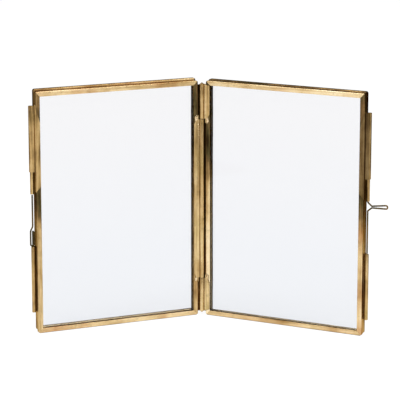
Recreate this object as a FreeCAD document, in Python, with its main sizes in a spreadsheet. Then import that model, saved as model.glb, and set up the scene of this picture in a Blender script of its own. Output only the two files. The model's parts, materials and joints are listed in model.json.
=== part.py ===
# Hinged double photo frame in aged brass and glass, standing open like a book.
# Two frames share one long hinge. Each frame is a front leaf and a back leaf with a pane in each,
# hinged to each other at the inner rear edge and pinned at the outer side by a bent wire.
# Millimetres. +Z is up, the pictures face -Y, and the origin is the middle of the footprint.

import FreeCAD, Part
import math
import os
from types import SimpleNamespace
from FreeCAD import Placement, Rotation, Vector
from Sketcher import Constraint

# Driving dimensions

SIZES = [
    ("frame_width", 131.4, "outer width of a front leaf"),
    ("frame_height", 184.0, "outer height of a leaf"),
    ("border_width", 3.65, "face of the brass channel round a front leaf's glass"),
    ("back_border_width", 2.8, "face of the channel round a back leaf's glass"),
    ("channel_wall", 0.65, "thickness of the channel's sheet brass"),
    ("corner_clip", 1.2, "how far each outer corner is cut off along both edges"),
    ("pane_thickness", 2.0, "glass"),
    ("pane_seat", 0.1, "play of a pane between the channel's two flanges, each side"),
    ("pane_edge_gap", 0.5, "play between a pane's edge and the channel's web"),
    ("leaf_gap", 0.4, "air between a front leaf and its back leaf"),
    ("left_back_lift", 1.5, "how far the left back leaf rides above the table"),
    ("right_back_lift", 0.8, "how far the right back leaf rides above the table"),
    ("back_inset", 0.3, "how far a back leaf stands in from the front leaf's inner side"),
    ("left_free_inset", 0.2, "how far the left back leaf stands in from the outer side"),
    ("right_free_inset", 0.1, "how far the right back leaf stands in from the outer side"),
    ("open_turn", 26.0, "turn of each frame from flat, in degrees"),
    ("hinge_reach", 2.65, "from the book hinge's axis to a front leaf's inner side"),
    ("hinge_stand", 1.2, "from the book hinge's axis back to the front faces"),
    ("hinge_sheet", 0.7, "sheet of the book hinge's plates"),
    ("hinge_knuckle_radius", 1.75, "outside of the book hinge's barrel"),
    ("hinge_pin_radius", 0.7, "book hinge pin"),
    ("hinge_pin_play", 0.08, "radial running clearance on the book hinge pin"),
    ("hinge_plate_width", 3.4, "how far the book hinge's plates reach over a stile"),
    ("hinge_plate_cut", 7.0, "height of the slanted cut at a plate's end"),
    ("hinge_plate_overrun", 3.3, "how far a plate runs past its knuckle on the stile"),
    ("barrel_foot", 3.2, "lower end of the barrel above the table"),
    ("barrel_head", 2.4, "upper end of the barrel below the frame's top"),
    ("lower_split", 29.6, "where the bottom and middle knuckles meet, above the table"),
    ("upper_split", 29.5, "where the middle and top knuckles meet, below the frame's top"),
    ("knuckle_gap", 0.4, "air between neighbouring knuckles"),
    ("pin_end", 0.8, "how far the book hinge pin shows past the barrel"),
    ("leaf_sheet", 0.5, "sheet of the small rear hinges"),
    ("leaf_knuckle_radius", 1.0, "barrel of the small rear hinges"),
    ("leaf_pin_radius", 0.45, "pin of the small rear hinges"),
    ("leaf_pin_play", 0.06, "radial running clearance on a small hinge pin"),
    ("leaf_hinge_height", 24.0, "height of a small rear hinge"),
    ("leaf_knuckle_height", 8.0, "height of its middle knuckle"),
    ("leaf_hinge_inset", 20.0, "from the frame's top and bottom to a small rear hinge"),
    ("rear_plate_width", 2.6, "how far plates on a back leaf reach over a stile"),
    ("leaf_strap_start", 0.9, "where the side strap starts, behind the front face"),
    ("clasp_sheet", 0.55, "sheet of the clasp plates"),
    ("clasp_plate_width", 3.4, "how far the front clasp plates reach over a stile"),
    ("clasp_clearance", 0.3, "air between the rolled tube and the frame's side"),
    ("sleeve_radius", 1.35, "outside of the wire's guide tubes"),
    ("sleeve_seat", 0.04, "solder gap between the sleeve and the roll round it"),
    ("wire_radius", 0.6, "the bent wire pin"),
    ("wire_play", 0.09, "radial running clearance of the wire in its tubes"),
    ("left_clasp_rise", 2.65, "middle of the left clasp above the frame's mid-height"),
    ("right_clasp_rise", -1.3, "middle of the right clasp above the frame's mid-height"),
    ("lower_tube_length", 50.5, "lower guide tube"),
    ("pull_gap", 40.3, "bare stretch between the guide tubes, where the wire's loop moves"),
    ("bare_sleeve_length", 16.8, "sleeve that shows below the roll"),
    ("roll_length", 49.7, "rolled upper tube"),
    ("front_plate_overrun", 1.1, "front clasp plate past the roll's top"),
    ("front_plate_lift", 1.8, "front clasp plate's lower end above the sleeve's"),
    ("front_cut_top", 13.6, "slanted cut at the front clasp plate's top"),
    ("front_cut_bottom", 4.2, "slanted cut at the front clasp plate's bottom"),
    ("rear_cut", 5.0, "slanted cuts at the rear clasp plate's ends"),
    ("wire_guided", 40.0, "wire held inside its own tube at rest"),
    ("wire_free_gap", 0.6, "wire's free end to the other tube at rest"),
    ("loop_seat", 0.7, "air between the wire's first bend and its tube"),
    ("loop_reach", 16.4, "how far the right loop's tip stands out from its tube"),
    ("loop_width", 2.7, "right loop across its two strands, middle to middle"),
    ("loop_neck", 1.3, "right loop's strands at the neck, middle to middle"),
    ("loop_lift", 1.0, "middle of the right loop's tip above the middle of its neck"),
    ("loop_drop", 14.0, "left loop, from its tip up to where the wire leaves the tube's line"),
    ("eye_height", 11.5, "left loop's eye"),
    ("eye_outer", 2.35, "left loop's outer strand from the wire's line"),
    ("eye_inner", 0.1, "left loop's inner strand from the wire's line"),
    ("eye_front", 1.7, "left loop in front of the wire's line"),
    ("bend_radius", 1.0, "the wire's bends at a loop's root, on its middle line"),
    ("pinch_radius", 0.65, "the wire's tightest bends, under the left loop's eye"),
]

doc = FreeCAD.newDocument("double_photo_frame")
sheet = doc.addObject("Spreadsheet::Sheet", "sizes")
for row, (alias, value, note) in enumerate(SIZES, start=1):
    sheet.set("A%d" % row, alias)
    sheet.set("B%d" % row, str(value))
    sheet.setAlias("B%d" % row, alias)
    sheet.set("C%d" % row, note)
doc.recompute()


class Length:
    """A size that is a number here and an expression over the sheet in the model."""

    def __init__(self, text, value):
        self.text = text
        self.value = value

    def __float__(self):
        return self.value

    def __add__(self, other):
        return Length("(%s + %s)" % (self.text, spelled(other)), self.value + float(other))

    def __sub__(self, other):
        return Length("(%s - %s)" % (self.text, spelled(other)), self.value - float(other))

    def __mul__(self, factor):
        return Length("(%s * %s)" % (self.text, spelled(factor)), self.value * factor)

    __rmul__ = __mul__


def spelled(item):
    """A length's expression, or a plain number as text."""
    return item.text if isinstance(item, Length) else str(item)


size = SimpleNamespace(**{alias: Length("sizes." + alias, value) for alias, value, note in SIZES})

# Lines of a frame's plan. They are measured from the book hinge's axis: out is sideways along
# the frame to its outer side, back is square to it from the front faces to the rear.

ON_AXIS = Length("0", 0.0)
LEAF_DEPTH = size.pane_thickness + 2 * size.pane_seat + 2 * size.channel_wall
FRONT_FACE = size.hinge_stand
FRONT_LEAF_REAR = FRONT_FACE + LEAF_DEPTH
PARTING = FRONT_LEAF_REAR + 0.5 * size.leaf_gap
BACK_LEAF_START = FRONT_LEAF_REAR + size.leaf_gap
REAR_FACE = BACK_LEAF_START + LEAF_DEPTH
INNER = size.hinge_reach
OUTER = INNER + size.frame_width
BACK_INNER = INNER + size.back_inset
BACK_OUTER = {"left": OUTER - size.left_free_inset, "right": OUTER - size.right_free_inset}
BACK_LIFT = {"left": size.left_back_lift, "right": size.right_back_lift}
HALF_GAP = 0.5 * size.knuckle_gap

SIDES = {"left": -1, "right": 1}
sub_parts = {}


def frame_placement(side):
    """Where a frame stands: turned about the book hinge's axis."""
    turn = -SIDES[side] * float(size.open_turn)
    return Placement(Vector(0, 0, 0), Rotation(Vector(0, 0, 1), turn))


def register(part, name, placement):
    """Label a finished sub-part, place it and keep it for the export."""
    part.Label = name
    part.Placement = placement
    sub_parts[name] = part


# Sketches and the features raised from them

def new_body(name):
    """An empty body that will carry one sub-part."""
    return doc.addObject("PartDesign::Body", "body_" + name)


def new_sketch(body, role, offset):
    """A sketch on one of the body's own origin planes, moved along the plane's normal."""
    plane = [feature for feature in body.Origin.OriginFeatures if feature.Role == role][0]
    sketch = body.newObject("Sketcher::SketchObject", "outline")
    sketch.AttachmentSupport = [(plane, "")]
    sketch.MapMode = "FlatFace"
    sketch.setExpression("AttachmentOffset.Base.z", offset.text)
    return sketch


def fix_point(sketch, geometry, position, point):
    """Hold a point of the sketch at two lengths from its origin."""
    for kind, axis, length in (("DistanceX", -2, point[0]), ("DistanceY", -1, point[1])):
        if float(length) == 0:
            sketch.addConstraint(Constraint("PointOnObject", geometry, position, axis))
            continue
        index = sketch.addConstraint(Constraint(kind, -1, 1, geometry, position, float(length)))
        sketch.setExpression("Constraints[%d]" % index, length.text)


def draw_polygon(sketch, corners):
    """A closed outline of straight lines."""
    points = [Vector(float(x), float(y), 0) for x, y in corners]
    count = len(points)
    for index in range(count):
        sketch.addGeometry(Part.LineSegment(points[index], points[(index + 1) % count]), False)
    for index in range(count):
        sketch.addConstraint(Constraint("Coincident", index, 2, (index + 1) % count, 1))
    for index in range(count):
        fix_point(sketch, index, 1, corners[index])


def draw_circle(sketch, centre, radius):
    """One circle."""
    middle = Vector(float(centre[0]), float(centre[1]), 0)
    sketch.addGeometry(Part.Circle(middle, Vector(0, 0, 1), float(radius)), False)
    fix_point(sketch, 0, 3, centre)
    index = sketch.addConstraint(Constraint("Radius", 0, float(radius)))
    sketch.setExpression("Constraints[%d]" % index, radius.text)


def pad(body, sketch, length, backwards=False):
    """Raise a sketch along its normal, or against it."""
    feature = body.newObject("PartDesign::Pad", "pad")
    feature.Profile = sketch
    feature.Reversed = backwards
    feature.setExpression("Length", length.text)


def pocket(body, sketch, length, forwards=True):
    """Cut a sketch out of the body, and make sure that the cut meets it."""
    doc.recompute()
    before = body.Shape.Volume
    feature = body.newObject("PartDesign::Pocket", "pocket")
    feature.Profile = sketch
    feature.Reversed = forwards
    feature.setExpression("Length", length.text)
    doc.recompute()
    if body.Shape.Volume >= before:
        raise ValueError("a pocket in %s cuts nothing" % body.Name)


def pad_sheet(body, corners, start, thickness):
    """A flat sheet outlined in X and Z that starts at a depth and grows to the rear."""
    sketch = new_sketch(body, "XZ_Plane", -1 * start)
    draw_polygon(sketch, corners)
    pad(body, sketch, thickness, backwards=True)


def pad_upright(body, corners, low, high):
    """A prism outlined in X and Y between two heights."""
    sketch = new_sketch(body, "XY_Plane", low)
    draw_polygon(sketch, corners)
    pad(body, sketch, high - low)


def pad_post(body, centre, radius, low, high):
    """A round post between two heights."""
    sketch = new_sketch(body, "XY_Plane", low)
    draw_circle(sketch, centre, radius)
    pad(body, sketch, high - low)


def bore(body, centre, radius, low, high):
    """A round upright hole between two heights."""
    sketch = new_sketch(body, "XY_Plane", low)
    draw_circle(sketch, centre, radius)
    pocket(body, sketch, high - low)


# Channel rails and stiles, mitred at the corners, and the panes that stand in them

class Leaf:
    """One leaf's outline, its border and the depth at which it starts."""

    def __init__(self, name, side, start, near, far, low, border):
        self.name = side + "_" + name
        self.side = side
        self.start = start
        self.near = near
        self.far = far
        self.low = low
        self.border = border
        self.high = low + size.frame_height


def make_rail(leaf, edge):
    """The top or bottom length of channel, with its groove towards the glass."""
    hand = SIDES[leaf.side]
    level, inward = (leaf.low, 1) if edge == "bottom" else (leaf.high, -1)
    half_clip = 0.5 * size.corner_clip
    body = new_body(leaf.name + edge)
    pad_sheet(body, [
        (hand * (leaf.near + size.corner_clip), level),
        (hand * (leaf.far - size.corner_clip), level),
        (hand * (leaf.far - half_clip), level + inward * half_clip),
        (hand * (leaf.far - leaf.border), level + inward * leaf.border),
        (hand * (leaf.near + leaf.border), level + inward * leaf.border),
        (hand * (leaf.near + half_clip), level + inward * half_clip),
    ], leaf.start, LEAF_DEPTH)
    web = level + inward * size.channel_wall
    mouth = level + inward * leaf.border
    front = leaf.start + size.channel_wall
    rear = leaf.start + LEAF_DEPTH - size.channel_wall
    sketch = new_sketch(body, "YZ_Plane", hand * leaf.near)
    draw_polygon(sketch, [(front, web), (rear, web), (rear, mouth), (front, mouth)])
    pocket(body, sketch, leaf.far - leaf.near, forwards=hand > 0)
    register(body, "%s_%s_rail" % (leaf.name, edge), frame_placement(leaf.side))


def make_stile(leaf, edge):
    """The inner or outer length of channel, with its groove towards the glass."""
    hand = SIDES[leaf.side]
    level, inward = (leaf.near, 1) if edge == "inner" else (leaf.far, -1)
    half_clip = 0.5 * size.corner_clip
    body = new_body(leaf.name + edge)
    pad_sheet(body, [
        (hand * level, leaf.low + size.corner_clip),
        (hand * (level + inward * half_clip), leaf.low + half_clip),
        (hand * (level + inward * leaf.border), leaf.low + leaf.border),
        (hand * (level + inward * leaf.border), leaf.high - leaf.border),
        (hand * (level + inward * half_clip), leaf.high - half_clip),
        (hand * level, leaf.high - size.corner_clip),
    ], leaf.start, LEAF_DEPTH)
    web = hand * (level + inward * size.channel_wall)
    mouth = hand * (level + inward * leaf.border)
    front = leaf.start + size.channel_wall
    rear = leaf.start + LEAF_DEPTH - size.channel_wall
    sketch = new_sketch(body, "XY_Plane", leaf.low)
    draw_polygon(sketch, [(web, front), (web, rear), (mouth, rear), (mouth, front)])
    pocket(body, sketch, size.frame_height)
    register(body, "%s_%s_stile" % (leaf.name, edge), frame_placement(leaf.side))


def make_pane(leaf):
    """The pane standing in its leaf's channel."""
    slack = size.channel_wall + size.pane_edge_gap
    pane = doc.addObject("Part::Box", "glass_" + leaf.name)
    pane.setExpression("Length", (leaf.far - leaf.near - 2 * slack).text)
    pane.setExpression("Width", size.pane_thickness.text)
    pane.setExpression("Height", (size.frame_height - 2 * slack).text)
    lowest = leaf.near + slack if leaf.side == "right" else slack - leaf.far
    front = leaf.start + size.channel_wall + size.pane_seat
    corner = Vector(float(lowest), float(front), float(leaf.low + slack))
    register(pane, leaf.name + "_pane", frame_placement(leaf.side).multiply(Placement(corner, Rotation())))


for side in SIDES:
    for leaf in (
            Leaf("front", side, FRONT_FACE, INNER, OUTER, ON_AXIS, size.border_width),
            Leaf(
                "back", side, BACK_LEAF_START, BACK_INNER, BACK_OUTER[side], BACK_LIFT[side],
                size.back_border_width)):
        make_rail(leaf, "bottom")
        make_rail(leaf, "top")
        make_stile(leaf, "inner")
        make_stile(leaf, "outer")
        make_pane(leaf)


# Book hinge between the two frames: three plates rolled into one barrel, and its pin

BARREL_LOW = size.barrel_foot
BARREL_HIGH = size.frame_height - size.barrel_head
LOWER_SPLIT = size.lower_split
UPPER_SPLIT = size.frame_height - size.upper_split


def make_hinge_leaf(name, side, knuckle, plate, cuts):
    """A plate soldered on a stile's front face and rolled into one knuckle."""
    hand = SIDES[side]
    edge = hand * INNER
    far = hand * (INNER + size.hinge_plate_width)
    body = new_body(name)
    pad_sheet(body, [
        (far, plate[0] + cuts[0]), (edge, plate[0]), (edge, knuckle[0]), (ON_AXIS, knuckle[0]),
        (ON_AXIS, knuckle[1]), (edge, knuckle[1]), (edge, plate[1]), (far, plate[1] - cuts[1]),
    ], FRONT_FACE - size.hinge_sheet, size.hinge_sheet)
    pad_post(body, (ON_AXIS, ON_AXIS), size.hinge_knuckle_radius, *knuckle)
    bore(body, (ON_AXIS, ON_AXIS), size.hinge_pin_radius + size.hinge_pin_play, *knuckle)
    register(body, name, frame_placement(side))


def make_pin(name, side, axis, radius, low, high):
    """A plain round hinge pin."""
    pin = doc.addObject("Part::Cylinder", "rod_" + name)
    pin.setExpression("Radius", radius.text)
    pin.setExpression("Height", (high - low).text)
    foot = Placement(Vector(float(axis[0]), float(axis[1]), float(low)), Rotation())
    register(pin, name, frame_placement(side).multiply(foot))


make_hinge_leaf(
    "right_bottom_hinge_leaf", "right",
    knuckle=(BARREL_LOW, LOWER_SPLIT - HALF_GAP),
    plate=(BARREL_LOW + size.hinge_sheet, LOWER_SPLIT + size.hinge_plate_overrun),
    cuts=(size.hinge_sheet, size.hinge_plate_cut))
make_hinge_leaf(
    "left_middle_hinge_leaf", "left",
    knuckle=(LOWER_SPLIT + HALF_GAP, UPPER_SPLIT - HALF_GAP),
    plate=(LOWER_SPLIT - size.hinge_plate_overrun, UPPER_SPLIT + size.hinge_plate_overrun),
    cuts=(size.hinge_plate_cut, size.hinge_plate_cut))
make_hinge_leaf(
    "right_top_hinge_leaf", "right",
    knuckle=(UPPER_SPLIT + HALF_GAP, BARREL_HIGH),
    plate=(UPPER_SPLIT - size.hinge_plate_overrun, BARREL_HIGH - size.hinge_sheet),
    cuts=(size.hinge_plate_cut, size.hinge_sheet))
make_pin(
    "book_hinge_pin", "left", (ON_AXIS, ON_AXIS), size.hinge_pin_radius,
    BARREL_LOW - size.pin_end, BARREL_HIGH + size.pin_end)


# Small hinges between each front leaf and its back leaf

def make_strap(name, side, axis, low, notch, high):
    """Strap soldered on the front leaf's inner side, with a knuckle at each end."""
    start = FRONT_FACE + size.leaf_strap_start
    body = new_body(name)
    hand = SIDES[side]
    sketch = new_sketch(body, "YZ_Plane", hand * (INNER - size.leaf_sheet))
    draw_polygon(sketch, [
        (start, low), (axis[1], low), (axis[1], notch[0]), (FRONT_LEAF_REAR, notch[0]),
        (FRONT_LEAF_REAR, notch[1]), (axis[1], notch[1]), (axis[1], high), (start, high)])
    pad(body, sketch, size.leaf_sheet, backwards=hand < 0)
    pad_post(body, axis, size.leaf_knuckle_radius, low, notch[0])
    pad_post(body, axis, size.leaf_knuckle_radius, notch[1], high)
    bore(body, axis, size.leaf_pin_radius + size.leaf_pin_play, low, high)
    register(body, name, frame_placement(side))


def make_rear_plate(name, side, axis, low, knuckle, high):
    """Plate soldered on the back leaf's rear face, with the middle knuckle."""
    hand = SIDES[side]
    edge = hand * BACK_INNER
    far = hand * (BACK_INNER + size.rear_plate_width)
    body = new_body(name)
    pad_sheet(body, [
        (far, low), (edge, low), (edge, knuckle[0]), (axis[0], knuckle[0]),
        (axis[0], knuckle[1]), (edge, knuckle[1]), (edge, high), (far, high),
    ], REAR_FACE, size.leaf_sheet)
    pad_post(body, axis, size.leaf_knuckle_radius, *knuckle)
    bore(body, axis, size.leaf_pin_radius + size.leaf_pin_play, *knuckle)
    register(body, name, frame_placement(side))


def make_rear_hinge(level, side, low):
    """One small hinge: strap, rear plate and pin, from its lower end up."""
    name = "%s_%s_rear_hinge_" % (side, level)
    high = low + size.leaf_hinge_height
    middle = low + 0.5 * size.leaf_hinge_height
    half_knuckle = 0.5 * size.leaf_knuckle_height
    notch = (middle - half_knuckle - HALF_GAP, middle + half_knuckle + HALF_GAP)
    knuckle = (middle - half_knuckle + HALF_GAP, middle + half_knuckle - HALF_GAP)
    axis = (
        SIDES[side] * (INNER - size.leaf_knuckle_radius),
        REAR_FACE + size.leaf_sheet - size.leaf_knuckle_radius)
    make_strap(name + "strap", side, axis, low, notch, high)
    make_rear_plate(name + "plate", side, axis, low, knuckle, high)
    make_pin(name + "pin", side, axis, size.leaf_pin_radius, low, high)


for side in SIDES:
    make_rear_hinge("lower", side, size.leaf_hinge_inset)
    make_rear_hinge("upper", side, size.frame_height - size.leaf_hinge_inset - size.leaf_hinge_height)


# Clasp at each outer side: two guide tubes in line and the bent wire that pins them together

ROLL_BORE = size.sleeve_radius + size.sleeve_seat
ROLL_RADIUS = ROLL_BORE + size.clasp_sheet
WIRE_BORE = size.wire_radius + size.wire_play
WIRE_OUT = OUTER + size.clasp_clearance + ROLL_RADIUS
STACK = size.lower_tube_length + size.pull_gap + size.bare_sleeve_length + size.roll_length


class Clasp:
    """Where a side's clasp stands, from the lower tube's foot upwards."""

    def __init__(self, side, rise):
        self.side = side
        self.hand = SIDES[side]
        self.line = (self.hand * WIRE_OUT, PARTING)
        self.foot = 0.5 * size.frame_height + rise - 0.5 * STACK
        self.lower_top = self.foot + size.lower_tube_length
        self.sleeve_low = self.lower_top + size.pull_gap
        self.roll_low = self.sleeve_low + size.bare_sleeve_length
        self.roll_high = self.roll_low + size.roll_length


def make_front_clasp(clasp):
    """Plate on the outer stile's face, bent round its side and rolled into the upper tube."""
    name = clasp.side + "_upper_clasp_plate"
    hand = clasp.hand
    low = clasp.sleeve_low + size.front_plate_lift
    high = clasp.roll_high + size.front_plate_overrun
    face = FRONT_FACE - size.clasp_sheet
    edge = hand * OUTER
    skin = hand * (OUTER + size.clasp_sheet)
    inward = hand * (OUTER - size.clasp_plate_width)
    web_front = PARTING - ROLL_RADIUS
    web_rear = web_front + size.clasp_sheet
    body = new_body(name)
    pad_sheet(body, [
        (inward, low + size.front_cut_bottom), (skin, low), (skin, high),
        (inward, high - size.front_cut_top),
    ], face, size.clasp_sheet)
    pad_upright(body, [(edge, face), (skin, face), (skin, web_rear), (edge, web_rear)], low, high)
    pad_upright(body, [
        (edge, web_front), (clasp.line[0], web_front), (clasp.line[0], web_rear), (edge, web_rear),
    ], clasp.roll_low, clasp.roll_high)
    pad_post(body, clasp.line, ROLL_RADIUS, clasp.roll_low, clasp.roll_high)
    bore(body, clasp.line, ROLL_BORE, clasp.roll_low, clasp.roll_high)
    register(body, name, frame_placement(clasp.side))


def make_sleeve(clasp):
    """Thin guide tube in the roll, showing below it."""
    name = clasp.side + "_upper_sleeve"
    rods = []
    for kind, radius in (("wall", size.sleeve_radius), ("hole", WIRE_BORE)):
        rod = doc.addObject("Part::Cylinder", "sleeve_%s_%s" % (kind, clasp.side))
        rod.setExpression("Radius", radius.text)
        rod.setExpression("Height", (clasp.roll_high - clasp.sleeve_low).text)
        rod.setExpression("Placement.Base.x", clasp.line[0].text)
        rod.setExpression("Placement.Base.y", clasp.line[1].text)
        rod.setExpression("Placement.Base.z", clasp.sleeve_low.text)
        rods.append(rod)
    tube = doc.addObject("Part::Cut", "tube_" + name)
    tube.Base, tube.Tool = rods
    register(tube, name, frame_placement(clasp.side))


def make_rear_clasp(clasp):
    """Plate on the back leaf's rear face, bent round its side and rolled into the lower tube."""
    name = clasp.side + "_lower_clasp_plate"
    hand = clasp.hand
    low, high = clasp.foot, clasp.lower_top
    edge = hand * BACK_OUTER[clasp.side]
    skin = hand * (BACK_OUTER[clasp.side] + size.clasp_sheet)
    inward = hand * (BACK_OUTER[clasp.side] - size.rear_plate_width)
    rear = REAR_FACE + size.clasp_sheet
    web_rear = PARTING + size.sleeve_radius
    web_front = web_rear - size.clasp_sheet
    body = new_body(name)
    pad_sheet(body, [
        (inward, low + size.rear_cut), (skin, low), (skin, high), (inward, high - size.rear_cut),
    ], REAR_FACE, size.clasp_sheet)
    pad_upright(body, [(edge, web_front), (skin, web_front), (skin, rear), (edge, rear)], low, high)
    pad_upright(body, [
        (edge, web_front), (clasp.line[0], web_front), (clasp.line[0], web_rear), (edge, web_rear),
    ], low, high)
    pad_post(body, clasp.line, size.sleeve_radius, low, high)
    bore(body, clasp.line, WIRE_BORE, low, high)
    register(body, name, frame_placement(clasp.side))


def rounded_path(points, radii):
    """Straight runs through points, with a tangent arc of its own radius at each inner point."""
    edges = []
    start = points[0]
    for index, radius in enumerate(radii, start=1):
        corner = points[index]
        back = (points[index - 1] - corner).normalize()
        ahead = (points[index + 1] - corner).normalize()
        half_angle = back.getAngle(ahead) / 2
        setback = radius / math.tan(half_angle)
        bisector = (back + ahead).normalize()
        nearest = corner + bisector * (radius / math.sin(half_angle) - radius)
        edges.append(Part.LineSegment(start, corner + back * setback).toShape())
        start = corner + ahead * setback
        edges.append(Part.Arc(corner + back * setback, nearest, start).toShape())
    edges.append(Part.LineSegment(start, points[-1]).toShape())
    return Part.Wire(edges)


def bend_wire(clasp, points, radii):
    """Round wire through points given as out, back and up from the clasp's line."""
    name = clasp.side + "_wire_pin"
    line_x, line_y = float(clasp.line[0]), float(clasp.line[1])
    route = [Vector(line_x + clasp.hand * out, line_y + back, up) for out, back, up in points]
    path = rounded_path(route, radii)
    radius = float(size.wire_radius)
    heading = (route[1] - route[0]).normalize()
    sweep = Part.BRepOffsetAPI.MakePipeShell(path)
    sweep.add(Part.Wire([Part.Circle(route[0], heading, radius).toShape()]))
    sweep.build()
    sweep.makeSolid()
    solid = sweep.shape()
    share = solid.Volume / (math.pi * radius ** 2 * path.Length)
    print("%s: %.1f mm of wire, volume %.4f of section times length" % (name, path.Length, share))
    wire = doc.addObject("Part::Feature", "bent_" + name)
    wire.Shape = solid
    register(wire, name, frame_placement(clasp.side))


def make_right_wire(clasp):
    """Wire held by the upper tube, its loop standing out sideways just below the sleeve."""
    bend = float(size.bend_radius)
    neck = float(size.loop_neck)
    width = float(size.loop_width)
    tip = float(size.loop_reach - size.wire_radius)
    root = float(clasp.sleeve_low - size.loop_seat)
    neck_out = 3.2 * bend
    upper = root - 2.6 * bend
    lower = upper - neck
    eye_top = upper + float(size.loop_lift) + 0.5 * (width - neck)
    tip_radius = 0.46 * width
    bend_wire(clasp, [
        (0, 0, root + float(size.wire_guided)),
        (0, 0, root),
        (neck_out, 0, upper),
        (tip, 0, eye_top),
        (tip, 0, eye_top - width),
        (neck_out, 0, lower),
        (0, 0, lower - 2.6 * bend),
        (0, 0, float(clasp.lower_top + size.wire_free_gap)),
    ], [bend, bend, tip_radius, tip_radius, bend, bend])


def make_left_wire(clasp):
    """Wire held by the lower tube, its loop hanging in front just above the tube."""
    bend = float(size.bend_radius)
    pinch = float(size.pinch_radius)
    outer = float(size.eye_outer)
    inner = -float(size.eye_inner)
    front = -float(size.eye_front)
    tip = float(clasp.lower_top + size.loop_seat + size.wire_radius)
    shoulder = tip + float(size.eye_height)
    tip_radius = 0.46 * (outer - inner)
    bend_wire(clasp, [
        (0, 0, float(clasp.sleeve_low - size.wire_free_gap)),
        (0, 0, tip + float(size.loop_drop)),
        (outer, front, shoulder),
        (outer, front, tip),
        (inner, front, tip),
        (inner, front, shoulder - 1.2 * bend),
        (0, 0, shoulder - 0.4 * bend),
        (0, 0, float(clasp.lower_top) - float(size.wire_guided)),
    ], [3 * bend, 3 * bend, tip_radius, tip_radius, pinch, pinch])


left_clasp = Clasp("left", size.left_clasp_rise)
right_clasp = Clasp("right", size.right_clasp_rise)
for clasp in (left_clasp, right_clasp):
    make_front_clasp(clasp)
    make_sleeve(clasp)
    make_rear_clasp(clasp)
make_left_wire(left_clasp)
make_right_wire(right_clasp)


# Check every object, stand the whole on its footprint's middle, and write the pieces

doc.recompute()
for item in doc.Objects:
    if "Invalid" in item.State or "Error" in item.State:
        raise ValueError("%s did not recompute: %s" % (item.Label, item.State))
for name, part in sub_parts.items():
    if part.Shape.isNull() or not part.Shape.isValid():
        raise ValueError("%s has no valid shape" % name)
    if len(part.Shape.Solids) != 1:
        raise ValueError("%s holds %d solids" % (name, len(part.Shape.Solids)))

extent = FreeCAD.BoundBox()
for part in sub_parts.values():
    extent.add(part.Shape.optimalBoundingBox())
stance = Placement(Vector(-extent.Center.x, -extent.Center.y, 0), Rotation())
for part in sub_parts.values():
    part.Placement = stance.multiply(part.Placement)
doc.recompute()

os.makedirs("parts", exist_ok=True)
for name, part in sub_parts.items():
    part.Shape.exportStep(os.path.join("parts", name + ".step"))
print("%d sub-parts, %.1f x %.1f x %.1f mm" % (
    len(sub_parts), extent.XLength, extent.YLength, extent.ZLength))
print("book hinge axis at x %.4f, y %.4f" % (stance.Base.x, stance.Base.y))
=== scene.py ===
# Hinged double photo frame in aged brass and glass, standing open like a book.
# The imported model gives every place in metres: +Z is up and the pictures face -Y.
import json
import math

import bmesh
import bpy
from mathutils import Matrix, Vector, noise


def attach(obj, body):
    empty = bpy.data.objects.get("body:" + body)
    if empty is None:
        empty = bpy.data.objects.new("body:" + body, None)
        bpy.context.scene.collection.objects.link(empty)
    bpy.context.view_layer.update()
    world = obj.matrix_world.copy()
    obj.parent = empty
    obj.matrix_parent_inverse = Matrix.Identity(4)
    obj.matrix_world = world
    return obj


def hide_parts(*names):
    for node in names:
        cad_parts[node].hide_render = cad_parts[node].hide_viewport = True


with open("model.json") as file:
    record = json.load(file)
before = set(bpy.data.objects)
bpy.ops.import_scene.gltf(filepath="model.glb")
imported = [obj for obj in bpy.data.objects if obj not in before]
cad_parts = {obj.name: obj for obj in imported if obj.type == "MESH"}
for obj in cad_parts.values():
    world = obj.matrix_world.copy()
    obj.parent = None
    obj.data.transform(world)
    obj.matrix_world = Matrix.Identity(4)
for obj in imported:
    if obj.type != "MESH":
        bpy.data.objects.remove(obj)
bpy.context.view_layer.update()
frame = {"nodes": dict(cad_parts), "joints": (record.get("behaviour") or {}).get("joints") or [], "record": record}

# Aged sheet brass
# Yellow brass channel, cut, folded and soldered by hand, then darkened in a bath and rubbed
# back. The eye sees pale gold where the cloth rubbed, brown and olive where the bath stayed,
# and pink where copper came up. Light is painted in too: the palest stop is a painted
# highlight, corners and gaps take painted shade over the bath's dark, and the sides are
# near black with painted shade.
MM = 0.001
FRAME_HEIGHT = 184 * MM
# The palest tone is a painted highlight, paler than rubbed brass, where a face caught the light.
BRASS_PAINTED_HIGHLIGHT = "ffecc4"
BRASS_RUBBED = "e8cc9a"
BRASS_YELLOW = "bf9e68"
BRASS_BROWN = "7d6340"
BRASS_OLIVE = "5b5132"
BRASS_BLACK_PATINA_AND_SHADE = "2f1e10"
BRASS_GLANCING = "b8986c"
COPPER_CAST = "c9936c"
OLIVE_CAST = "c2c48c"
PATCH_SIZE = 24 * MM
# Streaks along each piece: drawn lines in the brass, and on the rolled tubes painted light and dark reflection
# lines.
SPOT_SIZE = 3.0 * MM
STREAK_LENGTH = 30 * MM
STREAK_WIDTH = 1.6 * MM
SCRATCH_LENGTH = 14 * MM
SCRATCH_WIDTH = 0.4 * MM  # real rubbing marks are finer, and this is the finest that shows
SCRATCH_DEPTH = 0.05 * MM
DENT_SIZE = 8 * MM
DENT_DEPTH = 0.3 * MM
# The reach of the ambient occlusion, and below how far it darkens corners and gaps between parts towards black:
# painted shade over the bath's dark kept there.
CREVICE_REACH = 1.0 * MM
SIDE_SHADE_FADE = (0.15 * MM, 0.35 * MM)  # where a side's painted shade begins and is full, round a fold
LIP_FADE = 0.3 * MM
CREVICE_DARK_FULL = 0.92
CREVICE_DARK_WEAK = 0.15
RUBBED_DULL = 0.26
HANDLED_DULL = 0.42
STREAK_SHARE = 0.45
SPOT_STRENGTH = 0.5
DARK_IS_ROUGHER = 0.2
EVEN_TONE = 0.5  # the middle of the noise, taken off so that a tone reads as itself
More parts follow.
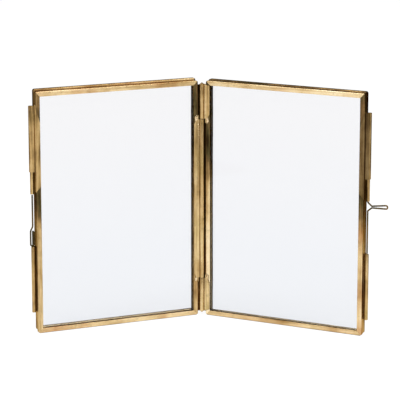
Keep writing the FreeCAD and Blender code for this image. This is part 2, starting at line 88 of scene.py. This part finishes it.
# The ramp runs through the patina from black to rubbed, and its top stop is the painted highlight.
PATINA_AND_HIGHLIGHT = (
    (0.28, BRASS_BLACK_PATINA_AND_SHADE), (0.37, BRASS_OLIVE), (0.45, BRASS_BROWN), (0.56, BRASS_YELLOW),
    (0.72, BRASS_RUBBED), (0.9, BRASS_PAINTED_HIGHLIGHT))


def linear(hexed):
    """An sRGB hex colour as linear red, green, blue and full alpha."""
    parts = [int(hexed[index:index + 2], 16) / 255 for index in (0, 2, 4)]
    return [part / 12.92 if part <= 0.04045 else ((part + 0.055) / 1.055) ** 2.4 for part in parts] + [1.0]


def add(tree, kind, inputs=(), stops=(), **settings):
    """Add a node with its settings, ramp stops, and values or links for its sockets."""
    node = tree.nodes.new(kind)
    for name, value in settings.items():
        setattr(node, name, value)
    for index, (place, shade) in enumerate(stops):
        ramp = node.color_ramp.elements
        stop = ramp[index] if index < 2 else ramp.new(place)
        stop.position = place
        stop.color = linear(shade) if isinstance(shade, str) else (shade, shade, shade, 1.0)
    for socket, value in dict(inputs).items():
        if isinstance(value, bpy.types.NodeSocket):
            tree.links.new(value, node.inputs[socket])
        else:
            node.inputs[socket].default_value = value
    return node


def new_material(name):
    """An empty node material and its shader."""
    material = bpy.data.materials.new(name)
    material.use_nodes = True
    tree = material.node_tree
    return material, tree, tree.nodes["Principled BSDF"]


def aged_brass(
        name, tones, seed, dull=RUBBED_DULL, cast=COPPER_CAST, casting=0.2, crevice_dark=CREVICE_DARK_FULL,
        folded=None, glancing=BRASS_GLANCING):
    """Aged brass whose tone changes up the frame by places and shades, brown below a half.

    The cast tints it in clouds. Its tones up the frame hold painted light and shade as well as
    patina. A folded piece gives its front face's width, its side's width and how much painted
    shade darkens that side.
    """
    material, tree, shader = new_material(name)
    place = add(tree, "ShaderNodeTexCoord").outputs["Object"]
    height = add(tree, "ShaderNodeSeparateXYZ", {"Vector": place}).outputs["Z"]
    share = add(tree, "ShaderNodeMath", {0: height, 1: FRAME_HEIGHT}, operation="DIVIDE")
    # Tone up the frame: patina, with painted light and shade where the faces caught or missed the light.
    tone = add(tree, "ShaderNodeValToRGB", {"Fac": share.outputs["Value"]}, stops=tones)
    patches = add(tree, "ShaderNodeTexNoise", {
        "Vector": place, "W": seed, "Scale": 1 / PATCH_SIZE, "Detail": 5.0, "Roughness": 0.6,
    }, noise_dimensions="4D")
    run = add(tree, "ShaderNodeUVMap", uv_map="run").outputs["UV"]
    # Streaks along the run: drawn lines, and on the rolled tubes painted light and dark reflection lines.
    streaked = add(tree, "ShaderNodeMapping", {
        "Vector": run, "Location": (seed, seed, 0), "Scale": (1 / STREAK_LENGTH, 1 / STREAK_WIDTH, 1.0)})
    streaks = add(tree, "ShaderNodeTexNoise", {
        "Vector": streaked.outputs["Vector"], "Scale": 1.0, "Detail": 3.0, "Roughness": 0.55})
    mixed = add(tree, "ShaderNodeMix", {
        "Factor": STREAK_SHARE, 2: patches.outputs["Fac"], 3: streaks.outputs["Fac"]}, data_type="FLOAT")
    raised = add(tree, "ShaderNodeMath", {0: mixed.outputs[0], 1: tone.outputs["Color"]}, operation="ADD")
    shifted = add(tree, "ShaderNodeMath", {0: raised.outputs["Value"], 1: EVEN_TONE}, operation="SUBTRACT")
    colour = add(tree, "ShaderNodeValToRGB", {"Fac": shifted.outputs["Value"]}, stops=PATINA_AND_HIGHLIGHT)
    clouds = add(tree, "ShaderNodeTexNoise", {
        "Vector": place, "W": seed + 7, "Scale": 1 / PATCH_SIZE, "Detail": 3.0,
    }, noise_dimensions="4D")
    clouded = add(tree, "ShaderNodeMapRange", {
        "Value": clouds.outputs["Fac"], "From Min": 0.45, "From Max": 0.65, "To Max": casting})
    warmed = add(tree, "ShaderNodeMix", {
        "Factor": clouded.outputs["Result"], 6: colour.outputs["Color"], 7: linear(cast),
    }, data_type="RGBA", blend_type="MULTIPLY")
    spots = add(tree, "ShaderNodeTexNoise", {
        "Vector": place, "W": seed + 3, "Scale": 1 / SPOT_SIZE, "Detail": 4.0, "Roughness": 0.7,
    }, noise_dimensions="4D")
    spotted = add(tree, "ShaderNodeMapRange", {
        "Value": spots.outputs["Fac"], "From Min": 0.55, "From Max": 0.75,
        "To Max": SPOT_STRENGTH})
    stained = add(tree, "ShaderNodeMix", {
        "Factor": spotted.outputs["Result"], 6: warmed.outputs[2], 7: linear(BRASS_BROWN),
    }, data_type="RGBA")
    # Painted shade: ambient occlusion darkens corners and gaps between parts towards black, over the bath's dark
    # kept there.
    corner = add(tree, "ShaderNodeAmbientOcclusion", {"Distance": CREVICE_REACH}, samples=8)
    crevice_darkening = add(tree, "ShaderNodeMapRange", {
        "Value": corner.outputs["AO"], "From Min": 0.3, "From Max": 0.9, "To Min": crevice_dark,
        "To Max": 0.0})
    dark = crevice_darkening.outputs["Result"]
    # Painted shade: the side faces of a folded piece are darkened towards black, fading in round the fold and out
    # at the lip.
    if folded:
        face, web, side_shade = folded
        around = add(tree, "ShaderNodeSeparateXYZ", {"Vector": run}).outputs["Y"]
        side_shading = add(tree, "ShaderNodeMapRange", {
            "Value": around, "From Min": face - SIDE_SHADE_FADE[0], "From Max": face + SIDE_SHADE_FADE[1],
            "To Max": side_shade})
        ended = add(tree, "ShaderNodeMapRange", {
            "Value": around, "From Min": face + web - LIP_FADE, "From Max": face + web + LIP_FADE,
            "To Min": 1.0, "To Max": 0.3})
        side = add(tree, "ShaderNodeMath", {
            0: side_shading.outputs["Result"], 1: ended.outputs["Result"]}, operation="MULTIPLY")
        darker = add(tree, "ShaderNodeMath", {0: dark, 1: side.outputs["Value"]}, operation="MAXIMUM")
        dark = darker.outputs["Value"]
    shade_and_patina_mixed = add(tree, "ShaderNodeMix", {
        "Factor": dark, 6: stained.outputs[2], 7: linear(BRASS_BLACK_PATINA_AND_SHADE)}, data_type="RGBA")
    stretched = add(tree, "ShaderNodeMapping", {
        "Vector": run, "Scale": (1 / SCRATCH_LENGTH, 1 / SCRATCH_WIDTH, 1.0)})
    scratches = add(tree, "ShaderNodeTexNoise", {
        "Vector": stretched.outputs["Vector"], "Scale": 1.0, "Detail": 3.0, "Roughness": 0.6})
    dents = add(tree, "ShaderNodeTexNoise", {
        "Vector": place, "W": seed + 11, "Scale": 1 / DENT_SIZE, "Detail": 2.0,
    }, noise_dimensions="4D")
    dented = add(tree, "ShaderNodeBump", {
        "Height": dents.outputs["Fac"], "Strength": 0.6, "Distance": DENT_DEPTH})
    scratched = add(tree, "ShaderNodeBump", {
        "Height": scratches.outputs["Fac"], "Strength": 0.3, "Distance": SCRATCH_DEPTH,
        "Normal": dented.outputs["Normal"]})
    dullness = add(tree, "ShaderNodeMapRange", {
        "Value": shifted.outputs["Value"], "From Min": 0.3, "From Max": 0.7,
        "To Min": dull + DARK_IS_ROUGHER, "To Max": dull})
    tree.links.new(shade_and_patina_mixed.outputs[2], shader.inputs["Base Color"])
    tree.links.new(dullness.outputs["Result"], shader.inputs["Roughness"])
    tree.links.new(scratched.outputs["Normal"], shader.inputs["Normal"])
    shader.inputs["Metallic"].default_value = 1.0
    shader.inputs["Specular Tint"].default_value = linear(glancing)
    return material


# Channel rails and stiles
# Sheet brass folded to a U with the groove towards the glass, four lengths to a leaf, mitred
# and soldered at the corners. The folds are soft, the outer corners are filed round, and the
# lips wander a little because they were dressed by hand.
WALL = 0.65 * MM
FOLD_RADIUS = 0.45 * MM
LIP_RADIUS = 0.15 * MM
CORNER_RADIUS = 1.5 * MM
MITRE_GAP = 0.05 * MM
LIP_WANDER = 0.1 * MM
WANDER_ALONG = 45  # waves of the wander to a metre along the channel
WANDER_ROUND = 90  # and round it
RUN_STEP = 3.2 * MM
MITRE_SHARES = (1.0, 0.85, 0.7, 0.5, 0.25)
SHARP_EDGE = math.radians(38)

# Each frame is laid out flat and then turned about the book hinge's pin, so its pieces are placed
# by how far they lie out from the pin, back from it, and up from the table
SIDES = {"left": -1, "right": 1}
book_hinge = next(joint for joint in frame["joints"] if joint["name"] == "book_hinge")
PIN_X, PIN_Y, _ = book_hinge["pos_m"]
TURN = math.radians(book_hinge["range_deg"][1] / 2)


def stand(side, out, back, up):
    """Turn a point of a frame's plan to where it stands on the table."""
    x = SIDES[side] * (out * math.cos(TURN) + back * math.sin(TURN))
    y = back * math.cos(TURN) - out * math.sin(TURN)
    return Vector((PIN_X + x, PIN_Y + y, up))


def reach(side, node):
    """Least and greatest out, back and up of a piece of the model in its frame's plan."""
    spans = []
    for vertex in frame["nodes"][node].data.vertices:
        x = SIDES[side] * (vertex.co.x - PIN_X)
        y = vertex.co.y - PIN_Y
        out = x * math.cos(TURN) - y * math.sin(TURN)
        back = x * math.sin(TURN) + y * math.cos(TURN)
        spans.append((out, back, vertex.co.z))
    return [min(values) for values in zip(*spans)], [max(values) for values in zip(*spans)]


def rounded_outline(corners, steps=3):
    """Points of a closed outline whose corners, given as place and radius, are arcs."""
    points = []
    count = len(corners)
    for index, (corner, radius) in enumerate(corners):
        back = (corners[index - 1][0] - corner).normalized()
        ahead = (corners[(index + 1) % count][0] - corner).normalized()
        middle = corner + (back + ahead) * radius
        for step in range(steps + 1):
            swing = math.radians(90) * step / steps
            points.append(middle - ahead * radius * math.cos(swing) - back * radius * math.sin(swing))
    return points


def mesh_piece(name, body, material, vertices, faces, runs):
    """A shown piece from its vertices and faces, smooth but for its sharp edges."""
    mesh = bpy.data.meshes.new(name)
    mesh.from_pydata(vertices, [], faces)
    layer = mesh.uv_layers.new(name="run")
    for loop in mesh.loops:
        layer.data[loop.index].uv = runs[loop.vertex_index]
    shape = bmesh.new()
    shape.from_mesh(mesh)
    bmesh.ops.recalc_face_normals(shape, faces=shape.faces)
    shape.to_mesh(mesh)
    shape.free()
    mesh.polygons.foreach_set("use_smooth", [True] * len(mesh.polygons))
    mesh.set_sharp_from_angle(angle=SHARP_EDGE)
    mesh.materials.append(material)
    piece = bpy.data.objects.new(name, mesh)
    bpy.context.scene.collection.objects.link(piece)
    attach(piece, body)
    return piece


def laced(count, ring_count):
    """Faces of a closed tube of like rings of points, with a cap at each end."""
    faces = []
    for ring in range(ring_count - 1):
        for index in range(count):
            follow = (index + 1) % count
            faces.append((
                ring * count + index, ring * count + follow,
                (ring + 1) * count + follow, (ring + 1) * count + index))
    faces.append(tuple(range(count)))
    faces.append(tuple((ring_count - 1) * count + index for index in range(count)))
    return faces


def mitre_run(width_in, share, border):
    """Along and inward place at a share of the way from a straight section to the mitre."""
    straight = border + MITRE_GAP
    if width_in >= CORNER_RADIUS:
        return straight + (width_in + MITRE_GAP - straight) * share, width_in
    radius = CORNER_RADIUS - width_in
    level = straight - CORNER_RADIUS
    arc = radius * math.radians(45)
    gone = share * (level + arc)
    if gone <= level:
        return straight - gone, width_in
    swing = (gone - level) / radius
    return CORNER_RADIUS - radius * math.sin(swing) + MITRE_GAP, CORNER_RADIUS - radius * math.cos(swing)


def channel(name, side, leaf, edge, material):
    """One mitred length of channel in place of its plain solid."""
    near, start, low = leaf[0]
    far, rear, high = leaf[1]
    depth = rear - start
    level = edge in ("bottom", "top")
    node = name + ("_rail" if level else "_stile")
    least, most = reach(side, node)
    border = most[2] - least[2] if level else most[0] - least[0]
    length = far - near if level else high - low
    section = rounded_outline([
        (Vector((0, border)), LIP_RADIUS), (Vector((0, 0)), FOLD_RADIUS),
        (Vector((depth, 0)), FOLD_RADIUS), (Vector((depth, border)), LIP_RADIUS),
        (Vector((depth - WALL, border)), LIP_RADIUS), (Vector((depth - WALL, WALL)), LIP_RADIUS),
        (Vector((WALL, WALL)), LIP_RADIUS), (Vector((WALL, border)), LIP_RADIUS)])
    around = [0.0]
    for first, second in zip(section, section[1:]):
        around.append(around[-1] + (second - first).length)
    middle_steps = round(length / RUN_STEP)
    straight = border + MITRE_GAP
    rings = [("start", share) for share in MITRE_SHARES]
    rings += [("middle", step / middle_steps) for step in range(middle_steps + 1)]
    rings += [("end", share) for share in reversed(MITRE_SHARES)]
    vertices, runs = [], []
    for kind, share in rings:
        for (back, inward), round_at in zip(section, around):
            if kind == "middle":
                along, inner = straight + (length - 2 * straight) * share, inward
            else:
                along, inner = mitre_run(inward, share, border)
                along = length - along if kind == "end" else along
            ripple = Vector((along * WANDER_ALONG, back * WANDER_ROUND, hash_of(name)))
            drift = noise.noise(ripple) * LIP_WANDER
            inner = inner + drift * max(0.0, (inward - WALL) / border)
            if edge == "bottom":
                point = stand(side, near + along, start + back, low + inner)
            elif edge == "top":
                point = stand(side, near + along, start + back, high - inner)
            elif edge == "inner":
                point = stand(side, near + inner, start + back, low + along)
            else:
                point = stand(side, far - inner, start + back, low + along)
            vertices.append(point)
            runs.append((along, round_at))
    faces = laced(len(section), len(rings))
    piece = mesh_piece(name + "_channel", body_of(node), material, vertices, faces, runs)
    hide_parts(node)


def hash_of(name):
    """A steady number for a name, so that no two pieces wander alike."""
    return sum(index * ord(letter) for index, letter in enumerate(name, start=1)) % 97 * 1.7


def body_of(node):
    """The moving body that a piece of the model belongs to."""
    bodies = frame["record"]["behaviour"]["bodies"]
    return next(body for body, nodes in bodies.items() if node in nodes)


# Tones of each length at seven levels up the frame, how much painted shade its side takes and
# how much its cast shows, matched to the photograph. The tones are patina with painted light and
# shade: a length is paler where its face caught the light and darker where it stood in shade,
# up to a painted highlight at the foot of the right front inner stile.
LEVELS = (0.08, 0.28, 0.42, 0.55, 0.65, 0.88, 0.97)
CHANNEL_TONES = {
    "left_front_bottom": ((0.72,) * 7, 0.2, 0.7),
    "left_front_top": ((0.67,) * 7, 0.1, 0.6),
    "left_front_inner": ((0.6, 0.6, 0.6, 0.5, 0.46, 0.36, 0.38), 0.5, 0.35),
    "left_front_outer": ((0.68, 0.61, 0.56, 0.37, 0.36, 0.36, 0.5), 0.1, 0.1),
    "left_back_bottom": ((0.92,) * 7, 0.0, 0.1),
    "left_back_top": ((0.58,) * 7, 0.1, 0.6),
    "left_back_inner": ((0.28,) * 7, 0.7, 0.1),
    "left_back_outer": ((0.55, 0.52, 0.5, 0.4, 0.4, 0.4, 0.5), 0.15, 0.1),
    "right_front_bottom": ((0.67,) * 7, 0.45, 0.3),
    "right_front_top": ((0.72,) * 7, 0.4, 0.3),
    "right_front_inner": ((0.95, 0.82, 0.74, 0.63, 0.45, 0.39, 0.4), 0.7, 0.15),
    "right_front_outer": ((0.72, 0.59, 0.67, 0.37, 0.35, 0.33, 0.4), 0.2, 0.6),
    "right_back_bottom": ((0.88,) * 7, 0.0, 0.1),
    "right_back_top": ((0.46,) * 7, 0.45, 0.3),
    "right_back_inner": ((0.28,) * 7, 0.7, 0.1),
    "right_back_outer": ((0.6, 0.54, 0.5, 0.4, 0.38, 0.34, 0.34), 0.2, 0.5),
}
for side in SIDES:
    for which in ("front", "back"):
        leaf_name = "%s_%s" % (side, which)
        inner_stile = reach(side, leaf_name + "_inner_stile")
        outer_stile = reach(side, leaf_name + "_outer_stile")
        bottom_rail = reach(side, leaf_name + "_bottom_rail")
        top_rail = reach(side, leaf_name + "_top_rail")
        leaf = (
            (inner_stile[0][0], bottom_rail[0][1], bottom_rail[0][2]),
            (outer_stile[1][0], bottom_rail[1][1], top_rail[1][2]))
        border = inner_stile[1][0] - inner_stile[0][0]
        depth = bottom_rail[1][1] - bottom_rail[0][1]
        for edge in ("bottom", "top", "inner", "outer"):
            name = "%s_%s" % (leaf_name, edge)
            tones, side_shade, casting = CHANNEL_TONES[name]
            # The back bottoms and outer stiles take less of that painted shade and dark in their corners.
            weak_crevice_dark = name.endswith(("back_bottom", "outer"))
            handled = name.startswith("left") and edge == "outer"
            material = aged_brass(
                "aged_brass_" + name, tuple(zip(LEVELS, tones)), hash_of(name),
                dull=HANDLED_DULL if handled else RUBBED_DULL,
                cast=OLIVE_CAST if handled else COPPER_CAST, casting=casting,
                crevice_dark=CREVICE_DARK_WEAK if weak_crevice_dark else CREVICE_DARK_FULL, folded=(border, depth, side_shade))
            channel(name, side, leaf, edge, material)


# Panes
# Clear float glass, one pane to each leaf, held loose in the grooves so that a print can be
# pinched between the two. Float glass is faintly blue-grey and takes a little off the white. Its
# IOR was matched below the usual 1.5, so that the panes mirror as little of the room as they do.
# The tint darkens a little towards the foot: painted shade, for the shaded table seen through the panes.
GLASS_HEAD = "f8f8f9"
GLASS_FOOT = "f4f5f7"
SMEAR_SIZE = 40 * MM
SMEAR_SHARE = 0.12
pane_glass, tree, shader = new_material("clear_float_glass")
place = add(tree, "ShaderNodeTexCoord").outputs["Object"]
height = add(tree, "ShaderNodeSeparateXYZ", {"Vector": place}).outputs["Z"]
smear = add(tree, "ShaderNodeTexNoise", {"Vector": place, "Scale": 1 / SMEAR_SIZE, "Detail": 3.0})
level = add(tree, "ShaderNodeMapRange", {"Value": height, "From Min": 0.0, "From Max": FRAME_HEIGHT})
uneven = add(tree, "ShaderNodeMix", {
    "Factor": SMEAR_SHARE, 2: level.outputs["Result"], 3: smear.outputs["Fac"]}, data_type="FLOAT")
# Darker towards the foot as painted shade.
tinted = add(tree, "ShaderNodeValToRGB", {"Fac": uneven.outputs[0]}, stops=(
    (0.3, GLASS_FOOT), (0.85, GLASS_HEAD)))
tree.links.new(tinted.outputs["Color"], shader.inputs["Base Color"])
shader.inputs["Roughness"].default_value = 0.0
shader.inputs["IOR"].default_value = 1.3
shader.inputs["Transmission Weight"].default_value = 1.0
for side in SIDES:
    for which in ("front", "back"):
        pane = frame["nodes"]["%s_%s_pane" % (side, which)]
        pane.data.materials.clear()
        pane.data.materials.append(pane_glass)


# Hinge leaves, clasp plates, straps, tubes and pins
# Small pieces of the same sheet, rolled round a rod and soft-soldered on, with drawn tube and
# rod inside. Their cut edges were filed, so each gets a fine round. The wires kept the bath's
# colour and read olive. The right clasp's plate is brown with painted shade on it, and the end of
# its roll is mostly left out of that shade as a painted highlight.
EDGE_ROUND = 0.12 * MM
EDGE_FROM = math.radians(40)
WELD_WITHIN = 0.002 * MM
# How far the roll's painted highlight reaches, where the plate's painted shade begins, and how dark it is.
ROLL_HIGHLIGHT = 1.5 * MM
PLATE_EDGE = 0.5 * MM
PLATE_SHADE = 0.66
WIRE_GLANCING = "6e6040"
# Less of that painted shade and dark in the corners of the small pieces.
CREVICE_DARK_LIGHT = 0.4


def dress(node, material):
    """Give a small piece of the model its finish, filed edges and a run for the scratches."""
    piece = frame["nodes"][node]
    piece.data.materials.clear()
    piece.data.materials.append(material)
    if "run" not in piece.data.uv_layers:
        layer = piece.data.uv_layers.new(name="run")
        for loop in piece.data.loops:
            place = piece.data.vertices[loop.vertex_index].co
            layer.data[loop.index].uv = (place.z, place.x)
    weld = piece.modifiers.new("joined", "WELD")
    weld.merge_threshold = WELD_WITHIN
    edges = piece.modifiers.new("filed_edges", "BEVEL")
    edges.width = EDGE_ROUND
    edges.segments = 2
    edges.limit_method = "ANGLE"
    edges.angle_limit = EDGE_FROM
    piece.data.polygons.foreach_set("use_smooth", [True] * len(piece.data.polygons))


plate_brass = aged_brass(
    "aged_brass_plates", ((0.1, 0.72), (0.2, 0.57), (0.3, 0.61), (0.45, 0.66), (0.6, 0.59), (0.8, 0.58)),
    4.0, dull=0.24, cast=OLIVE_CAST, casting=0.4)
clasp_brass = aged_brass(
    "aged_brass_clasps", ((0.2, 0.58), (0.8, 0.49)), 12.5,
    dull=0.24, cast=OLIVE_CAST, casting=0.5, crevice_dark=CREVICE_DARK_LIGHT)
# Painted shade on the right clasp's plate, left off the end of its roll as a painted highlight.
clasp_spread = [vertex.co.x for vertex in frame["nodes"]["right_upper_clasp_plate"].data.vertices]
plate_start = min(clasp_spread) - PLATE_EDGE
roll_start = max(clasp_spread) - ROLL_HIGHLIGHT
shaded_clasp_brass = aged_brass(
    "clasp_brass_shaded_plate", ((0.5, 0.56), (0.9, 0.56)), 16.5,
    cast=OLIVE_CAST, casting=0.4, crevice_dark=CREVICE_DARK_LIGHT,
    folded=(plate_start, roll_start - plate_start, PLATE_SHADE))
hidden_brass = aged_brass("aged_brass_straps", ((0.2, 0.46), (0.8, 0.46)), 21.0, dull=0.3)
rod_brass = aged_brass(
    "drawn_brass_rod_and_tube", ((0.2, 0.58), (0.8, 0.52)), 33.0,
    cast=OLIVE_CAST, casting=0.4, crevice_dark=CREVICE_DARK_LIGHT)
wire_brass = aged_brass(
    "darkened_brass_wire", ((0.2, 0.41), (0.8, 0.41)), 45.0,
    dull=0.3, cast=OLIVE_CAST, casting=0.6, crevice_dark=CREVICE_DARK_LIGHT, glancing=WIRE_GLANCING)
for node in frame["nodes"]:
    if node.endswith("_hinge_leaf"):
        dress(node, plate_brass)
    elif node == "right_upper_clasp_plate":
        dress(node, shaded_clasp_brass)
    elif node.endswith("_clasp_plate"):
        dress(node, clasp_brass)
    elif node.endswith(("_strap", "_rear_hinge_plate")):
        dress(node, hidden_brass)
    elif node.endswith(("_hinge_pin", "_sleeve")):
        dress(node, rod_brass)
    elif node.endswith("_wire_pin"):
        dress(node, wire_brass)


# Hinge strips
# A narrow strip of thin sheet slants from each front leaf's inner side round behind the barrel
# and closes the slit between the stile and the knuckles. It stands in for the shade in that slit,
# and its near black, darker towards the top, is painted shade.
STRIP_THICKNESS = 0.3 * MM
STRIP_EDGE = 0.1 * MM
STRIP_FOOT = 2.5 * MM
STRIP_ROOT = Vector((2.65, 1.6)) * MM
STRIP_LIP = Vector((0.3, 2.1)) * MM
shade_strip_brass = aged_brass(
    "painted_shade_brass_strip", ((0.1, 0.46), (0.9, 0.26)), 57.0, dull=0.45, casting=0.9, crevice_dark=0.6)
for side in SIDES:
    stile_low, stile_high = reach(side, side + "_front_inner_stile")
    low, high = stile_low[2] + STRIP_FOOT, stile_high[2] - STRIP_FOOT
    along = (STRIP_LIP - STRIP_ROOT).normalized()
    through = Vector((along.y, -along.x)) * STRIP_THICKNESS
    corners = (STRIP_LIP, STRIP_ROOT, STRIP_ROOT + through, STRIP_LIP + through)
    section = rounded_outline([(corner, STRIP_EDGE) for corner in corners])
    steps = round((high - low) / RUN_STEP)
    vertices, runs = [], []
    for step in range(steps + 1):
        up = low + (high - low) * step / steps
        for index, (out, back) in enumerate(section):
            vertices.append(stand(side, out, back, up))
            runs.append((up, index * STRIP_EDGE))
    faces = laced(len(section), steps + 1)
    mesh_piece(side + "_hinge_strip", side + "_front_leaf", shade_strip_brass, vertices, faces, runs)


# Solder
# Soft solder run in by hand where the book hinge's plates meet the channels, left as small lumps.
# It is mostly tin and the cloth polished it, so it shines paler than the brass, finely pitted.
SOLDER_BRIGHT = "f4dab0"
SOLDER_DULL = "b89766"
SOLDER_GRAIN = 1.2 * MM
SOLDER_PITS = 0.2 * MM
SOLDER_PROUD = 0.45  # millimetres from the stile's face out to a lump's middle
LUMPINESS = 0.5
LUMPS_ROUND = 4
solder, tree, shader = new_material("rubbed_soft_solder")
place = add(tree, "ShaderNodeTexCoord").outputs["Object"]
grain = add(tree, "ShaderNodeTexNoise", {"Vector": place, "Scale": 1 / SOLDER_GRAIN, "Detail": 3.0})
shade = add(tree, "ShaderNodeValToRGB", {"Fac": grain.outputs["Fac"]}, stops=(
    (0.35, SOLDER_DULL), (0.62, SOLDER_BRIGHT)))
pitted = add(tree, "ShaderNodeBump", {
    "Height": grain.outputs["Fac"], "Strength": 0.7, "Distance": SOLDER_PITS})
gloss = add(tree, "ShaderNodeMapRange", {"Value": grain.outputs["Fac"], "To Min": 0.35, "To Max": 0.15})
tree.links.new(shade.outputs["Color"], shader.inputs["Base Color"])
tree.links.new(gloss.outputs["Result"], shader.inputs["Roughness"])
tree.links.new(pitted.outputs["Normal"], shader.inputs["Normal"])
shader.inputs["Metallic"].default_value = 1.0


def bead(name, side, out, back, up, size):
    """A lump of solder on a frame, of a width, depth and height given in millimetres."""
    shape = bmesh.new()
    bmesh.ops.create_icosphere(shape, subdivisions=3, radius=0.5)
    for vertex in shape.verts:
        vertex.co *= 1 + LUMPINESS * noise.noise(vertex.co * LUMPS_ROUND + Vector((hash_of(name), 0, 0)))
    vertices = [
        stand(side, out * MM + vertex.co.x * size[0] * MM, back * MM + vertex.co.y * size[1] * MM,
              up * MM + vertex.co.z * size[2] * MM) for vertex in shape.verts]
    faces = [tuple(vertex.index for vertex in face.verts) for face in shape.faces]
    shape.free()
    runs = [(vertex.x, vertex.z) for vertex in vertices]
    mesh_piece(name, side + "_front_leaf", solder, vertices, faces, runs)


plate_face = reach("left", "left_front_inner_stile")[0][1] / MM - SOLDER_PROUD
middle_low, middle_high = reach("left", "left_middle_hinge_leaf")
top_low, top_high = reach("right", "right_top_hinge_leaf")
bottom_low, bottom_high = reach("right", "right_bottom_hinge_leaf")
BEADS = [
    ("left", 4.1, middle_high[2] / MM - 2.8, (2.6, 0.9, 5.0)),
    ("left", 2.6, middle_high[2] / MM - 7.5, (1.5, 0.8, 2.4)),
    ("left", 2.4, middle_high[2] / MM - 9.8, (1.3, 0.6, 0.9)),
    ("left", 3.5, middle_high[2] / MM - 10.8, (1.5, 0.6, 0.8)),
    ("left", 4.7, middle_high[2] / MM - 9.6, (1.3, 0.6, 1.0)),
    ("left", 4.3, middle_low[2] / MM + 2.5, (2.2, 0.8, 3.4)),
    ("right", 4.2, top_low[2] / MM + 2.4, (2.4, 0.8, 4.6)),
    ("right", 2.9, top_low[2] / MM + 5.5, (1.4, 0.7, 3.4)),
    ("right", 4.2, bottom_high[2] / MM - 2.6, (2.2, 0.7, 3.8)),
]
for index, (side, out, up, size) in enumerate(BEADS, start=1):
    bead("hinge_solder_%d" % index, side, out, plate_face, up, size)


# Table and light
# A white light table in a dim room, with soft boxes above and beside it, as for a catalogue
# picture. A tan and a dark felt cloth lie left and right of it, and only the brass mirrors them.
TABLE_SIZE = 16
TABLE_GREY = "6c6c6c"
TABLE_WHITE = "ffffff"
TABLE_GLOW = 0.93
CLOTH_SIZE = 3
CLOTH_NEAR = 0.42
CLOTH_FRONT = -0.34
CLOTH_LIFT = 0.002
CLOTH_COLOURS = {"left": "a08c70", "right": "3f3a35"}
ROOM_DIM = "4a443c"
ROOM_CEILING = "e8e8e8"
ROOM_LIGHT = 0.9


def sheet_on_stage(name, centre, size, material):
    """A flat level square sheet, as for the table and the cloths."""
    mesh = bpy.data.meshes.new(name)
    half = size / 2
    corners = [(-half, -half), (half, -half), (half, half), (-half, half)]
    mesh.from_pydata([(centre[0] + x, centre[1] + y, centre[2]) for x, y in corners], [], [(0, 1, 2, 3)])
    mesh.materials.append(material)
    piece = bpy.data.objects.new(name, mesh)
    bpy.context.scene.collection.objects.link(piece)
    return piece


table_white, tree, shader = new_material("lit_white_acrylic")
shader.inputs["Base Color"].default_value = linear(TABLE_GREY)
shader.inputs["Roughness"].default_value = 0.9
shader.inputs["Specular IOR Level"].default_value = 0.0
shader.inputs["Emission Color"].default_value = linear(TABLE_WHITE)
shader.inputs["Emission Strength"].default_value = TABLE_GLOW
sheet_on_stage("table_top", (0, 0, 0), TABLE_SIZE, table_white)
for side, hand in SIDES.items():
    felt, tree, shader = new_material(side + "_felt")
    shader.inputs["Base Color"].default_value = linear(CLOTH_COLOURS[side])
    shader.inputs["Roughness"].default_value = 1.0
    middle = (hand * (CLOTH_NEAR + CLOTH_SIZE / 2), CLOTH_FRONT + CLOTH_SIZE / 2, CLOTH_LIFT)
    cloth = sheet_on_stage(side + "_cloth", middle, CLOTH_SIZE, felt)
    cloth.visible_camera = False
    cloth.visible_diffuse = False
    cloth.visible_transmission = False
    cloth.visible_shadow = False

world = bpy.data.worlds.new("studio")
bpy.context.scene.world = world
world.use_nodes = True
tree = world.node_tree
direction = add(tree, "ShaderNodeTexCoord").outputs["Generated"]
rise = add(tree, "ShaderNodeSeparateXYZ", {"Vector": direction}).outputs["Z"]
room = add(tree, "ShaderNodeValToRGB", {"Fac": rise}, stops=(
    (0.11, TABLE_WHITE), (0.15, ROOM_DIM), (0.5, ROOM_DIM), (0.85, ROOM_CEILING)))
tree.links.new(room.outputs["Color"], tree.nodes["Background"].inputs["Color"])
tree.nodes["Background"].inputs["Strength"].default_value = ROOM_LIGHT


def soft_box(name, place, aim, width, height, power):
    """A rectangular soft light at a place, aimed at a point."""
    light = bpy.data.lights.new(name, "AREA")
    light.shape = "RECTANGLE"
    light.size = width
    light.size_y = height
    light.energy = power
    lamp = bpy.data.objects.new(name, light)
    lamp.location = place
    lamp.rotation_euler = (Vector(aim) - Vector(place)).to_track_quat("-Z", "Y").to_euler()
    bpy.context.scene.collection.objects.link(lamp)


soft_box("overhead_box", (0.0, -0.3, 1.5), (0, 0, 0), 1.4, 1.0, 14)
soft_box("left_box", (-1.1, -1.0, 0.9), (0, 0, 0.1), 0.6, 0.9, 5)
soft_box("right_box", (1.1, -1.0, 0.9), (0, 0, 0.1), 0.6, 0.9, 5)


# Camera
# A long lens in front and a little above, 1.6 m from the hinge's pin. Its place and its turns
# were solved from the frame's own edges.
PHOTO_SIDE = 400
FOCAL_PIXELS = 2149.5
CAMERA_FROM_PIN = Vector((47.17, -1613.7, 441.7)) * MM
LOOK_DOWN = math.radians(12.252)
LOOK_RIGHT = math.radians(-1.722)
LEAN = math.radians(-0.012)
camera_data = bpy.data.cameras.new("camera")
camera_data.sensor_width = 36
camera_data.lens = FOCAL_PIXELS / PHOTO_SIDE * camera_data.sensor_width
camera = bpy.data.objects.new("camera", camera_data)
bpy.context.scene.collection.objects.link(camera)
camera.location = Vector((PIN_X, PIN_Y, 0)) + CAMERA_FROM_PIN
camera.rotation_mode = "XYZ"
camera.rotation_euler = (math.radians(90) - LOOK_DOWN, -LEAN, -LOOK_RIGHT)
bpy.context.scene.camera = camera
bpy.context.scene.view_settings.view_transform = "Standard"
